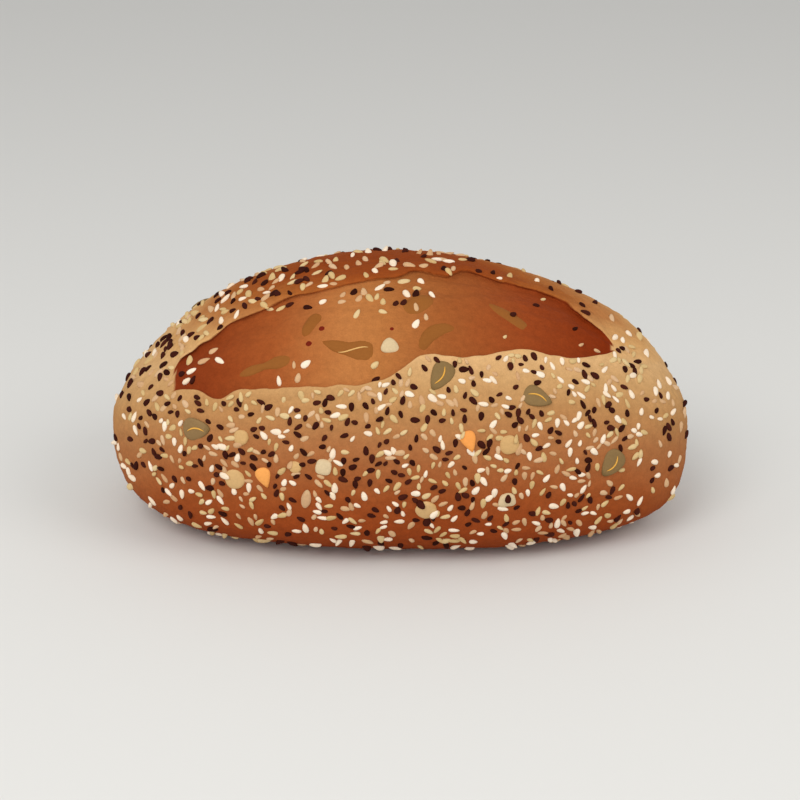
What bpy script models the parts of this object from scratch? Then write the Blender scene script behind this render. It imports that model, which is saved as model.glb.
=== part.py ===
"""Seeded sourdough loaf: an oval hearth loaf with one long cut along its top, its crust set with seeds.

Metres, +Z up. The loaf rests on z = 0 with its length along X, and the cut opens towards -Y, high on
the front. A place on the crust is given by x and by an angle about the long axis: 0 degrees is the front,
90 the top and 180 the back.
"""

import math
import random

import bmesh
import bpy
from mathutils import Matrix, Vector, noise
from mathutils.bvhtree import BVHTree

MM = 0.001

# Driving dimensions, of the smooth loaf under its swells
LENGTH = 240 * MM
WIDTH = 144 * MM
HEIGHT = 109 * MM
BELLY_Z = 40 * MM  # the widest level, where the long axis runs
KEEL = 46 * MM  # reach of the round underside below the axis, before the flat base cuts it

# Fullness of the curves: 2 is an ellipse, and more is squarer
TOP_FULLNESS = 2.15
UNDER_FULLNESS = 2.6
TOP_END_FULLNESS = 1.85
BELLY_END_FULLNESS = 2.4
UNDER_END_FULLNESS = 3.6

# Swells and dents from proving in a basket: x in mm, angle in degrees, spread and height in mm
SWELLS = (
    (118, 30, 26, 2.4), (-118, 20, 24, 2.6),  # the two ends
    (116, -40, 28, 1.5), (-104, -35, 30, -1.4), (-60, -30, 34, -1.7), (0, -32, 40, 1.0),  # low in front
    (96, 95, 24, 2.5), (60, 92, 30, -1.2), (14, 95, 30, 1.3), (-30, 92, 30, 1.8),  # along the crest
    (-66, 92, 26, 1.7), (-100, 95, 26, -2.8),
    (-20, 178, 45, 0.8), (70, 165, 34, -1.8),  # the back
)
UNEVEN = 1.5 * MM  # height of the wandering relief over the whole crust
UNEVEN_LENGTH = 46 * MM
LEAST_RADIUS = 8 * MM  # of a section, where lengths across the cut are turned to angles

# The cut's two edges: x in mm and angle in degrees
UPPER_EDGE = ((-92, 42), (-90, 48.5), (-87, 52), (-82, 54.3), (-74, 57.5), (-68, 62.2), (-53, 65.2),
              (-43, 69), (-33, 68.8), (-12, 72.4), (0, 74.4), (7, 78.8), (19, 76.8), (27, 83.6), (41, 82.4),
              (57, 85), (68, 83.4), (78, 72.2), (84, 66.6), (89, 58))
LOWER_EDGE = ((-92, 34), (-81, 32.7), (-71, 28.5), (-65, 31.2), (-30, 31.7), (-8, 33), (2, 37.5), (10, 42),
              (26, 41.3), (50, 45.5), (60, 44.5), (70, 45.1), (78, 47.8), (84, 51.2), (89, 57))
CUT_START = -91.5 * MM
CUT_END = 88.5 * MM
START_RUN = 2.5 * MM  # length over which the cut opens at its blunt end
END_RUN = 5 * MM  # and at its round end
FULL_CUT_WIDTH = 24 * MM  # where the cut is this wide, its lips have their whole size
SPREAD_RUN = 26 * MM  # beyond the cut's ends, length over which the rows spread evenly round the loaf

# Across the cut: distance up the slope from the edge, and height over the plain crust, in mm
LOWER_LIP = ((-5, 0.0), (-1.2, 0.8), (0, 0.5), (0.9, -1.3))
EAR = ((-9.0, -0.4), (-2.4, -0.7), (0.1, -0.4), (-0.1, 0.3), (-0.5, 0.9), (0.0, 1.5), (4.2, 1.5), (13, 0.5))
BLOOM = ((0.28, -0.5), (0.55, 0.5))  # share of the cut's width, and height in mm

# Divisions of the crust
STATIONS = 40
PLAIN_ROWS = 21

# Seeds: length, width and thickness in mm, then the corners of the outline and the levels of each
SEED_SIZES = {
    "pumpkin": (12.1, 8.9, 2.8, 10, 5),
    "baked": (12.0, 6.0, 2.0, 10, 5),
    "kernel": (8.2, 6.0, 2.8, 8, 4),
    "grit": (8.0, 7.8, 2.8, 8, 4),
    "linseed": (4.5, 2.5, 1.6, 6, 3),
    "sesame": (3.8, 2.1, 1.4, 6, 3),
}
SEED_TAPER = {"pumpkin": 0.45, "baked": 0.3, "kernel": 0.5, "grit": 0.1, "linseed": 0.35, "sesame": 0.35}
SEED_SINK = 0.06  # how far a seed's middle lies under the crust, as a share of its thickness
BAKED_SINK = 0.2  # the same for the seeds that are half buried in the cut

# The large seeds on the front: kind, x in mm, angle and spin in degrees, how much longer and wider, and
# for one of them the angle in radians through which it bends
FRONT_SEEDS = (
    ("pumpkin", -80.6, 17.2, 6, 1.0, 1.04), ("pumpkin", 16.5, 34.8, 240, 1.08, 1.0),
    ("pumpkin", 54.6, 28.6, -20, 1.03, 0.95), ("pumpkin", 85.6, 2.4, 230, 1.0, 1.13),
    ("baked", -20.4, 44.2, 168, 1.85, 1.4), ("baked", -53.4, 39.9, 193, 1.9, 1.0),
    ("baked", 43.8, 60.8, 146, 1.6, 1.0), ("baked", 7.8, 61.2, 33, 1.2, 1.5),
    ("baked", -35.2, 54.0, 240, 1.05, 0.95), ("baked", 13.6, 50.4, 38, 1.6, 0.95, -1.8),
    ("kernel", -3.5, 45.2, 92, 0.8, 1.2), ("kernel", -53.4, 1.0, -73, 1.07, 1.05),
    ("kernel", 27.6, 14.3, -70, 1.07, 1.05), ("kernel", -29.6, 5.9, 80, 0.8, 1.05),
    ("kernel", 43.1, -6.0, 90, 0.76, 1.2), ("kernel", -36.7, -5.4, 80, 0.98, 0.68),
    ("grit", -62.4, 14.8, 0, 0.8, 0.8), ("grit", -65.2, -0.6, 30, 1.08, 1.08),
    ("grit", -40.8, 5.5, 0, 0.65, 0.65), ("grit", 43.5, 13.0, 0, 1.0, 1.0),
    ("grit", 10.9, -9.0, 40, 1.08, 1.06),
)
# The large seeds of the back, of which each lies where most room is left, of a few places tried
BACK_KINDS = ("pumpkin", "kernel", "grit", "kernel", "pumpkin", "grit", "kernel")
BACK_COUNT = 20
BACK_REACH = 0.4  # how far from the middle they lie at most, as a share of the length
BACK_ANGLES = (122, 200)
BACK_ROUND = 1.1  # mm round the back for each degree, near enough to space the seeds by
BACK_TRIES = 6
BACK_RANDOM_SEED = 3
SMALL_SEED_COUNT = 225
SMALL_SEED_ANGLES = (-38, 218)
SMALL_SEED_TRIES = 24  # places tried for each small seed, of which the one with most room is kept
CUT_MARGIN = 3  # degrees of crust beside the cut that hold no small seed
FLOOR_MARGIN = 4 * MM  # height above the base under which there are none
RANDOM_SEED = 7


def smooth_curve(points, x):
    """Height at x of a smooth curve through the points, whose first values rise."""
    if x <= points[0][0]:
        return points[0][1]
    if x >= points[-1][0]:
        return points[-1][1]
    i = max(k for k in range(len(points) - 1) if points[k][0] <= x)
    before, after = points[max(i - 1, 0)], points[min(i + 2, len(points) - 1)]
    (x0, y0), (x1, y1) = points[i], points[i + 1]
    span = x1 - x0
    slope0 = (y1 - before[1]) / (x1 - before[0]) * span
    slope1 = (after[1] - y0) / (after[0] - x0) * span
    t = (x - x0) / span
    return (y0 * (1 + 2 * t) * (1 - t) ** 2 + slope0 * t * (1 - t) ** 2
            + y1 * t * t * (3 - 2 * t) - slope1 * t * t * (1 - t))


def plain_radius(x, angle):
    """Distance from the long axis to the crust at an angle in radians, with no swells and no cut."""
    above = math.sin(angle) >= 0
    fullness = TOP_FULLNESS if above else UNDER_FULLNESS
    end_fullness = TOP_END_FULLNESS if above else UNDER_END_FULLNESS
    across = abs(math.cos(angle)) / (WIDTH / 2)
    rise = abs(math.sin(angle)) / (HEIGHT - BELLY_Z if above else KEEL)
    section = (across**fullness + rise**fullness) ** (1 / fullness)
    bluntness = BELLY_END_FULLNESS + (end_fullness - BELLY_END_FULLNESS) * (rise / section) ** 2
    taper = max(0.0, 1 - abs(2 * x / LENGTH) ** bluntness) ** (1 / bluntness)
    return taper / section


def on_plain_crust(x, angle):
    radius = plain_radius(x, angle)
    return Vector((x, -radius * math.cos(angle), BELLY_Z + radius * math.sin(angle)))


def outward(point):
    """The way out of the crust at a point, taken from the ellipsoid of the loaf's own size."""
    full_height = 2 * (HEIGHT - BELLY_Z)
    rise = (point.z - BELLY_Z) / full_height**2
    return Vector((point.x / LENGTH**2, point.y / WIDTH**2, rise)).normalized()


def swell(point):
    """Height of the swells, dents and wandering relief at a point of the plain crust."""
    height = UNEVEN * noise.noise(point / UNEVEN_LENGTH)
    for x, degrees, spread, rise in SWELLS:
        away = (point - on_plain_crust(x * MM, math.radians(degrees))).length
        height += rise * MM * math.exp(-((away / (spread * MM)) ** 2))
    return height


def crust_point(x, angle, height=0.0):
    plain = on_plain_crust(x, angle)
    return plain + outward(plain) * (swell(plain) + height)


def cut_opening(x):
    """How far the cut is open at x: 0 beyond its ends and 1 along its middle."""
    start = min(1.0, max(0.0, (x - CUT_START) / START_RUN))
    end = min(1.0, max(0.0, (CUT_END - x) / END_RUN))
    share = min(start, end)
    return share * share * (3 - 2 * share)


def lip_offsets(lip, opening):
    """How far up the slope each row of a lip lies, in mm: as drawn where open, evenly apart where closed."""
    first, last = lip[0][0], lip[-1][0]
    even = [first + (last - first) * i / (len(lip) - 1) for i in range(len(lip))]
    return [flat + (up - flat) * opening for flat, (up, _) in zip(even, lip)]


def row_count():
    return len(LOWER_LIP) + len(BLOOM) + len(EAR) + PLAIN_ROWS


def section_rows(x):
    """(angle, height over the plain crust) of each row of the section at x, once round the loaf."""
    lower = math.radians(smooth_curve(LOWER_EDGE, x / MM))
    upper = math.radians(smooth_curve(UPPER_EDGE, x / MM))
    radius = max(plain_radius(x, (lower + upper) / 2), LEAST_RADIUS)
    size = min(1.0, (upper - lower) * radius / FULL_CUT_WIDTH)
    opening = cut_opening(x)
    to_angle = MM * size / radius
    angles = [lower + up * to_angle for up in lip_offsets(LOWER_LIP, opening)]
    angles += [lower + share * (upper - lower) for share, _ in BLOOM]
    angles += [upper + up * to_angle for up in lip_offsets(EAR, opening)]
    first, last = angles[-1], angles[0] + 2 * math.pi
    angles += [first + (last - first) * (i + 1) / (PLAIN_ROWS + 1) for i in range(PLAIN_ROWS)]
    spread = min(1.0, max(0.0, CUT_START - x, x - CUT_END) / SPREAD_RUN)
    middle = len(LOWER_LIP) + 1
    even = [angles[middle] + 2 * math.pi * (i - middle) / len(angles) for i in range(len(angles))]
    heights = [h for _, h in LOWER_LIP + BLOOM + EAR] + [0.0] * PLAIN_ROWS
    return [(angle + (flat - angle) * spread, h * MM * size * opening)
            for angle, flat, h in zip(angles, even, heights)]


def shape_crust(mesh):
    """Turns a unit sphere with its poles on Z into the loaf: meridians become rows, and rings stations."""
    stations = {}
    for vertex in mesh.verts:
        along = max(-1.0, min(1.0, vertex.co.z))
        x = LENGTH / 2 * along
        if len(vertex.link_faces) == row_count():  # a pole
            vertex.co = Vector((x, 0, BELLY_Z))
            continue
        rows = stations.setdefault(round(along, 5), section_rows(x))
        turn = math.atan2(vertex.co.y, vertex.co.x) / (2 * math.pi) % 1
        angle, height = rows[round(turn * row_count()) % row_count()]
        vertex.co = crust_point(x, angle, height)


def make_crust():
    mesh = bmesh.new()
    bmesh.ops.create_uvsphere(mesh, u_segments=row_count(), v_segments=STATIONS, radius=1)
    shape_crust(mesh)
    everything = mesh.verts[:] + mesh.edges[:] + mesh.faces[:]
    base = bmesh.ops.bisect_plane(mesh, geom=everything, plane_no=(0, 0, -1), clear_outer=True)
    rim = [part for part in base["geom_cut"] if isinstance(part, bmesh.types.BMEdge)]
    bmesh.ops.holes_fill(mesh, edges=rim)
    bmesh.ops.recalc_face_normals(mesh, faces=mesh.faces)
    return mesh


def seat(tree, x, degrees):
    """The point of the crust at a place, and the way out of it there."""
    angle = math.radians(degrees)
    away = Vector((0, -math.cos(angle), math.sin(angle)))
    start = Vector((x, 0, BELLY_Z)) + away * WIDTH
    point, normal, _, _ = tree.ray_cast(start, -away)
    return point, normal


def bent(along, side, length, bend):
    """A place along and beside a seed, once the seed bends through an angle in radians."""
    radius = length / bend
    turn = along / radius
    return (radius - side) * math.sin(turn), radius - (radius - side) * math.cos(turn)


def add_seed(collection, kind, point, normal, spin, longer=1.0, wider=1.0, bend=0.0):
    """One seed, a tapered ellipsoid, lying flat and sunk to a little over half its thickness."""
    length, width, thickness, segments, rings = SEED_SIZES[kind]
    mesh = bmesh.new()
    bmesh.ops.create_uvsphere(mesh, u_segments=segments, v_segments=rings, radius=0.5)
    taper = SEED_TAPER[kind]
    for vertex in mesh.verts:
        along, side, up = vertex.co
        narrow = 1 - taper * (along + 0.5) ** 2
        along, side = along * length * longer, side * width * wider * narrow
        if bend:
            along, side = bent(along, side, length * longer, bend)
        vertex.co = Vector((along, side, up * thickness)) * MM
    bmesh.ops.recalc_face_normals(mesh, faces=mesh.faces)
    data = bpy.data.meshes.new(kind)
    mesh.to_mesh(data)
    mesh.free()
    seed = bpy.data.objects.new(kind, data)
    along_loaf = (Vector((1, 0, 0)) - normal * normal.x).normalized()
    lie = Matrix((along_loaf, normal.cross(along_loaf), normal)).transposed()
    turned = lie @ Matrix.Rotation(math.radians(spin), 3, "Z")
    sink = thickness * MM * (BAKED_SINK if kind == "baked" else SEED_SINK)
    seed.matrix_world = Matrix.Translation(point - normal * sink) @ turned.to_4x4()
    collection.objects.link(seed)


def seed_reach(kind):
    return SEED_SIZES[kind][0] * MM / 2


def back_room(place, placed):
    """Distance in mm from a place on the back, given as x and degrees, to the nearest of those placed."""
    return min((math.hypot(place[0] - x, (place[1] - degrees) * BACK_ROUND) for x, degrees in placed),
               default=0)


def back_seeds():
    """The large seeds of the back, as those of the front are given."""
    draw = random.Random(BACK_RANDOM_SEED)
    reach = BACK_REACH * LENGTH / MM
    placed = []
    for i in range(BACK_COUNT):
        tries = [(draw.uniform(-reach, reach), draw.uniform(*BACK_ANGLES)) for _ in range(BACK_TRIES)]
        x, degrees = max(tries, key=lambda place: back_room(place, placed))
        placed.append((x, degrees))
        yield BACK_KINDS[i % len(BACK_KINDS)], x, degrees, draw.uniform(0, 360), 1.0, 1.0


def large_seeds(tree):
    """Each of the large seeds as (kind, point, normal, spin, longer, wider), and a bend where it has one."""
    given = (*FRONT_SEEDS, *back_seeds())
    return [(kind, *seat(tree, x * MM, degrees), *shape) for kind, x, degrees, *shape in given]


def small_seeds(tree, draw, large):
    """Linseed and sesame spread evenly: each is the furthest from all others of a few random tries."""
    placed = []
    for i in range(SMALL_SEED_COUNT):
        best = None
        for _ in range(SMALL_SEED_TRIES):
            x = math.sin(draw.uniform(-1, 1) * math.pi / 2) * LENGTH / 2
            degrees = draw.uniform(*SMALL_SEED_ANGLES)
            lower, upper = smooth_curve(LOWER_EDGE, x / MM), smooth_curve(UPPER_EDGE, x / MM)
            if cut_opening(x) > 0 and lower - CUT_MARGIN < degrees < upper + CUT_MARGIN:
                continue
            point, normal = seat(tree, x, degrees)
            if point is None or point.z < FLOOR_MARGIN:
                continue
            room = min((point - there).length - seed_reach(kind) for kind, there, *_ in large + placed)
            if best is None or room > best[0]:
                best = (room, point, normal)
        room, point, normal = best
        placed.append(("linseed" if i % 2 else "sesame", point, normal, draw.uniform(0, 180)))
    return placed


def crust_material():
    material = bpy.data.materials.new("BakedCrust")
    material.use_nodes = True
    shader = material.node_tree.nodes["Principled BSDF"]
    shader.inputs["Base Color"].default_value = (0.40, 0.17, 0.06, 1)
    shader.inputs["Roughness"].default_value = 0.6
    shader.inputs["Metallic"].default_value = 0.0
    return material


def fuse(loaf, collection):
    """Joins every object of the collection to the loaf, then removes them."""
    union = loaf.modifiers.new("Seeds", "BOOLEAN")
    union.operation = "UNION"
    union.operand_type = "COLLECTION"
    union.collection = collection
    union.solver = "EXACT"
    bpy.context.view_layer.update()
    graph = bpy.context.evaluated_depsgraph_get()
    joined = bpy.data.meshes.new_from_object(loaf.evaluated_get(graph))
    loaf.modifiers.clear()
    loaf.data = joined
    for helper in list(collection.objects):
        bpy.data.objects.remove(helper)
    bpy.data.collections.remove(collection)


def main():
    for old in list(bpy.data.objects):
        bpy.data.objects.remove(old)
    parts = bpy.data.collections.new("SeededSourdoughLoaf")
    helpers = bpy.data.collections.new("Seeds")
    for collection in (parts, helpers):
        bpy.context.scene.collection.children.link(collection)

    crust = make_crust()
    tree = BVHTree.FromBMesh(crust)
    data = bpy.data.meshes.new("loaf")
    crust.to_mesh(data)
    crust.free()
    loaf = bpy.data.objects.new("loaf", data)
    parts.objects.link(loaf)
    large = large_seeds(tree)
    for place in large + small_seeds(tree, random.Random(RANDOM_SEED), large):
        add_seed(helpers, *place)
    fuse(loaf, helpers)
    loaf.data.materials.clear()
    loaf.data.materials.append(crust_material())


main()
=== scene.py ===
# Seeded sourdough loaf: baked crust with one long open cut, and the seeds that cover it.
# Lengths are in millimetres until a mesh is written, which is in metres. A place on the crust is given by
# x along the loaf and by an angle about its long axis: 0 degrees is the front, 90 the top and 180 the back.
import math
from itertools import product
from random import Random

import bpy
import numpy as np
from mathutils import Matrix, Vector, noise
from mathutils.bvhtree import BVHTree


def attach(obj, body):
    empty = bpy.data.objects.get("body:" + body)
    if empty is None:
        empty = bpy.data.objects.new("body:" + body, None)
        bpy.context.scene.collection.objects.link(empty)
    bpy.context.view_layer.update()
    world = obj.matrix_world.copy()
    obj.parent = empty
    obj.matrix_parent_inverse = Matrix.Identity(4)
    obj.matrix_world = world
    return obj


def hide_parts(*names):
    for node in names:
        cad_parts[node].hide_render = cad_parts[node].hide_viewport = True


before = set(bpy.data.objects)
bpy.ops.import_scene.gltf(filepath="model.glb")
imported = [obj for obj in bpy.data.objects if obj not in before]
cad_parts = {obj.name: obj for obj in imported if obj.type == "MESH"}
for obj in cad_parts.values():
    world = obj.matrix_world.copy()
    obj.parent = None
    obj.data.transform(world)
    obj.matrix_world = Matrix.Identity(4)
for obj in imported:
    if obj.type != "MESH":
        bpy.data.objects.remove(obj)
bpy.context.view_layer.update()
mm = 0.001
random = np.random.RandomState(21)


def linearColor(hexCode):
    # sRGB hex to the linear colour that shaders take
    parts = [int(hexCode[i:i + 2], 16) / 255 for i in (0, 2, 4)]
    return [c / 12.92 if c <= 0.04045 else ((c + 0.055) / 1.055) ** 2.4 for c in parts] + [1.0]


def deselectAll():
    if bpy.context.mode != "OBJECT":
        bpy.ops.object.mode_set(mode="OBJECT")
    bpy.ops.object.select_all(action="DESELECT")


def pick(piece):
    deselectAll()
    piece.select_set(True)
    bpy.context.view_layer.objects.active = piece


def meshArrays(piece):
    mesh = piece.data
    points = np.zeros(len(mesh.vertices) * 3)
    mesh.vertices.foreach_get("co", points)
    return points.reshape(-1, 3), [tuple(face.vertices) for face in mesh.polygons]


def pointAttribute(piece, name, values):
    attribute = piece.data.attributes.new(name, "FLOAT", "POINT")
    attribute.data.foreach_set("value", np.asarray(values, np.float32))


def smoothCurve(points, x):
    # a smooth curve through the points, read at every x; the points' first values rise
    px, py = np.array(points, float).T
    x = np.clip(x, px[0], px[-1])
    i = np.clip(np.searchsorted(px, x, side="right") - 1, 0, len(px) - 2)
    before, after = np.maximum(i - 1, 0), np.minimum(i + 2, len(px) - 1)
    span = px[i + 1] - px[i]
    slope0 = (py[i + 1] - py[before]) / (px[i + 1] - px[before]) * span
    slope1 = (py[after] - py[i]) / (px[after] - px[i]) * span
    t = (x - px[i]) / span
    return (py[i] * (1 + 2 * t) * (1 - t) ** 2 + slope0 * t * (1 - t) ** 2
            + py[i + 1] * t * t * (3 - 2 * t) - slope1 * t * t * (1 - t))


def smoothStep(low, high, value):
    t = np.clip((value - low) / (high - low), 0, 1)
    return t * t * (3 - 2 * t)


def noiseAt(points, size, depth=0):
    # wandering values of about -1 to 1, whose lumps are about size across
    if depth:
        return np.array([noise.fractal(p, 1.0, 2.0, depth) for p in points / size])
    return np.array([noise.noise(p) for p in points / size])


# the camera has the photograph's view, from the front and 22 degrees above
photo = {"width": 800, "lens": 85, "sensor": 36, "elevation": 22, "distance": 808.7, "aim": (0.5, 0, 47.2)}
cameraRise = math.radians(photo["elevation"])
towardCamera = Vector((0, -math.cos(cameraRise), math.sin(cameraRise)))


def makeCamera():
    bpy.ops.object.camera_add()
    camera = bpy.context.active_object
    camera.data.lens = photo["lens"]
    camera.data.sensor_width = photo["sensor"]
    camera.location = (Vector(photo["aim"]) + towardCamera * photo["distance"]) * mm
    camera.rotation_euler = (math.pi / 2 - cameraRise, 0, 0)
    bpy.context.scene.camera = camera
    bpy.context.view_layer.update()
    return camera


def rayThrough(camera, column, row):
    # the straight line from the camera through a pixel of the photograph
    side = photo["width"] / 2
    reach = photo["lens"] / photo["sensor"] * photo["width"]
    way = Vector(((column - side) / reach, (side - row) / reach, -1))
    return camera.location, (camera.matrix_world.to_3x3() @ way).normalized()


# the loaf's form is the one that the solid has
loaf = {
    "length": 240, "width": 144, "height": 109,
    "bellyHeight": 40,  # the widest level, where the long axis runs
    "keel": 46,  # reach of the round underside below the axis, before the flat base cuts it
    "topFullness": 2.15, "underFullness": 2.6,  # 2 is an ellipse, and more is squarer
    "topEndFullness": 1.85, "bellyEndFullness": 2.4, "underEndFullness": 3.6,
    "uneven": 1.5, "unevenLength": 46,
    "leastRadius": 8,
    # swells and dents from proving in a basket: x, angle, spread and height
    "swells": (
        (118, 30, 26, 2.4), (-118, 20, 24, 2.6),
        (116, -40, 28, 1.5), (-104, -35, 30, -1.4), (-60, -30, 34, -1.7), (0, -32, 40, 1.0),
        (96, 95, 24, 2.5), (60, 92, 30, -1.2), (14, 95, 30, 1.3), (-30, 92, 30, 1.8),
        (-66, 92, 26, 1.7), (-100, 95, 26, -2.8),
        (-20, 178, 45, 0.8), (70, 165, 34, -1.8),
    ),
}

cut = {
    # the two edges: x and angle
    "upperEdge": ((-92, 42), (-90, 48.5), (-87, 52), (-82, 54.3), (-74, 57.5), (-68, 62.2), (-53, 65.2),
                  (-43, 69), (-33, 68.8), (-12, 72.4), (0, 74.4), (7, 78.8), (19, 76.8), (27, 83.6),
                  (41, 82.4), (57, 85), (68, 83.4), (78, 72.2), (84, 66.6), (89, 58)),
    "lowerEdge": ((-92, 34), (-81, 32.7), (-71, 28.5), (-65, 31.2), (-30, 31.7), (-8, 33), (2, 37.5),
                  (10, 42), (26, 41.3), (50, 45.5), (60, 44.5), (70, 45.1), (78, 47.8), (84, 51.2), (89, 57)),
    "start": -91.5, "end": 88.5, "startRun": 2.5, "endRun": 5,
    "fullWidth": 24, "spreadRun": 26,
    # across the cut: distance up the slope from the edge, and height over the plain crust
    "lowerLip": ((-5, 0.0), (-1.2, 0.8), (0, 0.5), (0.9, -1.3)),
    "bloom": ((0.28, -0.5), (0.55, 0.5)),  # share of the cut's width, and height
    "ear": ((-9.0, -0.4), (-2.4, -0.7), (0.1, -0.4), (-0.1, 0.3), (-0.5, 0.9), (0.0, 1.5), (4.2, 1.5),
            (13, 0.5)),
    # how far the torn edges wander, over what length and in which patterns
    "ragged": 0.8, "raggedLength": 6.5, "raggedPatterns": (3.1, 8.7, 5.2),
    # how much of it each point of the lip and the ear takes, and how far the ear's top rises
    "raggedLip": (0, 1, 1, 1), "raggedEar": (0, 0, 0, 0.4, 1.3, 1, 0.3, 0), "raggedRise": (0.5, 0.7),
    # how far the bare crumb's ends wander, and how far open the cut is there
    "endRagged": 1.6, "endRaggedLength": 3.2, "endRaggedAlong": 60, "endPattern": 0.5,
    "bareFrom": (0.06, 0.14),
    # the bare crumb's sides, in points from the lip's end and the ear's start
    "bareOnLip": (-1.15, -0.9), "bareOnEar": (3.7, 3.95),
    "layoutWidth": 38,  # the width for which the rows are shared out
}

crustGrid = {
    "stations": 266,  # rings along the loaf
    "lowerLipRows": 26, "bloomRows": 66, "earRows": 58,
    "frontRows": 80, "baseRows": 18, "backRows": 122,
    "baseAngles": (-42, -138),
}

relief = {
    "blister": 0.42, "blisterLength": 5.5, "blisterDetail": 2, "blisterFloor": -0.35,
    "pucker": 0.22, "puckerLength": 2.6, "puckerPattern": 40,
    # low steps along the cut, left as it tore open
    "terrace": 0.55, "terraceLength": 5.0, "terraceRun": 22,
    "drift": 3, "driftLength": 17, "driftPattern": 90,  # how the steps wander
    "blisterGone": 0.5, "puckerGone": 0.3,  # how much of each the bare crumb lacks
    "baseRound": 1.2,  # radius of the edge of the flat base
}


def plainRadius(x, angle):
    above = np.sin(angle) >= 0
    fullness = np.where(above, loaf["topFullness"], loaf["underFullness"])
    endFullness = np.where(above, loaf["topEndFullness"], loaf["underEndFullness"])
    across = np.abs(np.cos(angle)) / (loaf["width"] / 2)
    rise = np.abs(np.sin(angle)) / np.where(above, loaf["height"] - loaf["bellyHeight"], loaf["keel"])
    section = (across ** fullness + rise ** fullness) ** (1 / fullness)
    bluntness = loaf["bellyEndFullness"] + (endFullness - loaf["bellyEndFullness"]) * (rise / section) ** 2
    taper = np.maximum(0, 1 - np.abs(2 * x / loaf["length"]) ** bluntness) ** (1 / bluntness)
    return taper / section


def onPlainCrust(x, angle):
    radius = plainRadius(x, angle)
    height = loaf["bellyHeight"] + radius * np.sin(angle)
    return np.stack([x + 0 * angle, -radius * np.cos(angle), height], -1)


def outward(points):
    fullHeight = 2 * (loaf["height"] - loaf["bellyHeight"])
    away = (points - (0, 0, loaf["bellyHeight"])) / np.array([loaf["length"], loaf["width"], fullHeight]) ** 2
    return away / np.linalg.norm(away, axis=-1, keepdims=True)


def swell(points):
    height = loaf["uneven"] * noiseAt(points, loaf["unevenLength"])
    for x, degrees, spread, rise in loaf["swells"]:
        middle = onPlainCrust(np.float64(x), np.radians(degrees))
        height += rise * np.exp(-((points - middle) ** 2).sum(1) / spread ** 2)
    return height


def cutOpening(x):
    # how far the cut is open at x: 0 beyond its ends and 1 along its middle
    start = np.clip((x - cut["start"]) / cut["startRun"], 0, 1)
    end = np.clip((cut["end"] - x) / cut["endRun"], 0, 1)
    share = np.minimum(start, end)
    return share * share * (3 - 2 * share)


def lipPoints(lip, opening, tear):
    # the lip's points as drawn where the cut is open, and evenly apart where it is closed
    ups = np.array([up for up, _ in lip], float)
    even = np.linspace(ups[0], ups[-1], len(ups))
    torn = ups + tear
    return even + (torn - even) * opening


def throughPoints(points, steps):
    # a round curve through the points, read at steps counted in points
    i = np.clip(steps.astype(int), 0, len(points) - 2)
    t = (steps - i)[:, None]
    a, b = points[np.maximum(i - 1, 0)], points[i]
    c, d = points[i + 1], points[np.minimum(i + 2, len(points) - 1)]
    return 0.5 * (2 * b + (c - a) * t + (2 * a - 5 * b + 4 * c - d) * t ** 2
                  + (3 * b - a - 3 * c + d) * t ** 3)


def evenSteps(points, count):
    # steps that lie evenly along the curve through the points
    samples = 400
    fine = np.linspace(0, len(points) - 1, samples)
    line = throughPoints(points, fine)
    along = np.concatenate([[0], np.cumsum(np.linalg.norm(np.diff(line, axis=0), axis=1))])
    return np.interp(np.linspace(0, along[-1], count), along, fine)


def sectionRows(x):
    # angle, height over the plain crust and bareness of each row round the loaf at x
    wander = [noise.noise(Vector((x / cut["raggedLength"], pattern, 0))) for pattern in cut["raggedPatterns"]]
    lower = math.radians(smoothCurve(cut["lowerEdge"], x))
    upper = math.radians(smoothCurve(cut["upperEdge"], x))
    radius = max(float(plainRadius(x, np.float64((lower + upper) / 2))), loaf["leastRadius"])
    size = min(1.0, (upper - lower) * radius / cut["fullWidth"])
    opening = cutOpening(x)
    toAngle = size / radius
    tear = cut["ragged"] * opening
    lipUps = lipPoints(cut["lowerLip"], opening, np.array(cut["raggedLip"]) * tear * wander[0])
    earUps = lipPoints(cut["ear"], opening, np.array(cut["raggedEar"]) * tear * wander[1])
    bloom = [lower + share * (upper - lower) for share, _ in cut["bloom"]]
    across = np.concatenate([lower + lipUps * toAngle, bloom, upper + earUps * toAngle])
    heights = np.array([h for _, h in cut["lowerLip"] + cut["bloom"] + cut["ear"]]) * size * opening
    heights[-4:-2] += np.array(cut["raggedRise"]) * tear * size * wander[2]
    profile = throughPoints(np.stack([across, heights], 1), profileSteps)
    angles = profile[:, 0]
    first, last = angles[-1], angles[0] + 2 * math.pi
    back, front = [2 * math.pi + math.radians(a) for a in reversed(crustGrid["baseAngles"])]
    runs = ((first, back, crustGrid["backRows"], 1), (back, front, crustGrid["baseRows"], 0),
            (front, last, crustGrid["frontRows"], 0))
    plain = np.concatenate([start + (stop - start) * (np.arange(rows) + skip) / (rows + skip)
                            for start, stop, rows, skip in runs])
    angles = np.concatenate([angles, plain])
    spread = float(np.clip(max(cut["start"] - x, x - cut["end"]) / cut["spreadRun"], 0, 1))
    middle = crustGrid["lowerLipRows"] + crustGrid["bloomRows"] // 2
    even = angles[middle] + 2 * math.pi * (np.arange(len(angles)) - middle) / len(angles)
    torn = [cut["endRagged"] * noise.noise(Vector((
        a * radius / cut["endRaggedLength"], cut["endPattern"], x / cut["endRaggedAlong"])))
        for a in profile[:, 0]]
    bare = profileBare * smoothStep(*cut["bareFrom"], cutOpening(x + np.array(torn)))
    heights = np.concatenate([profile[:, 1], 0 * plain])
    return angles + (even - angles) * spread, heights, np.concatenate([bare, 0 * plain])


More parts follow.
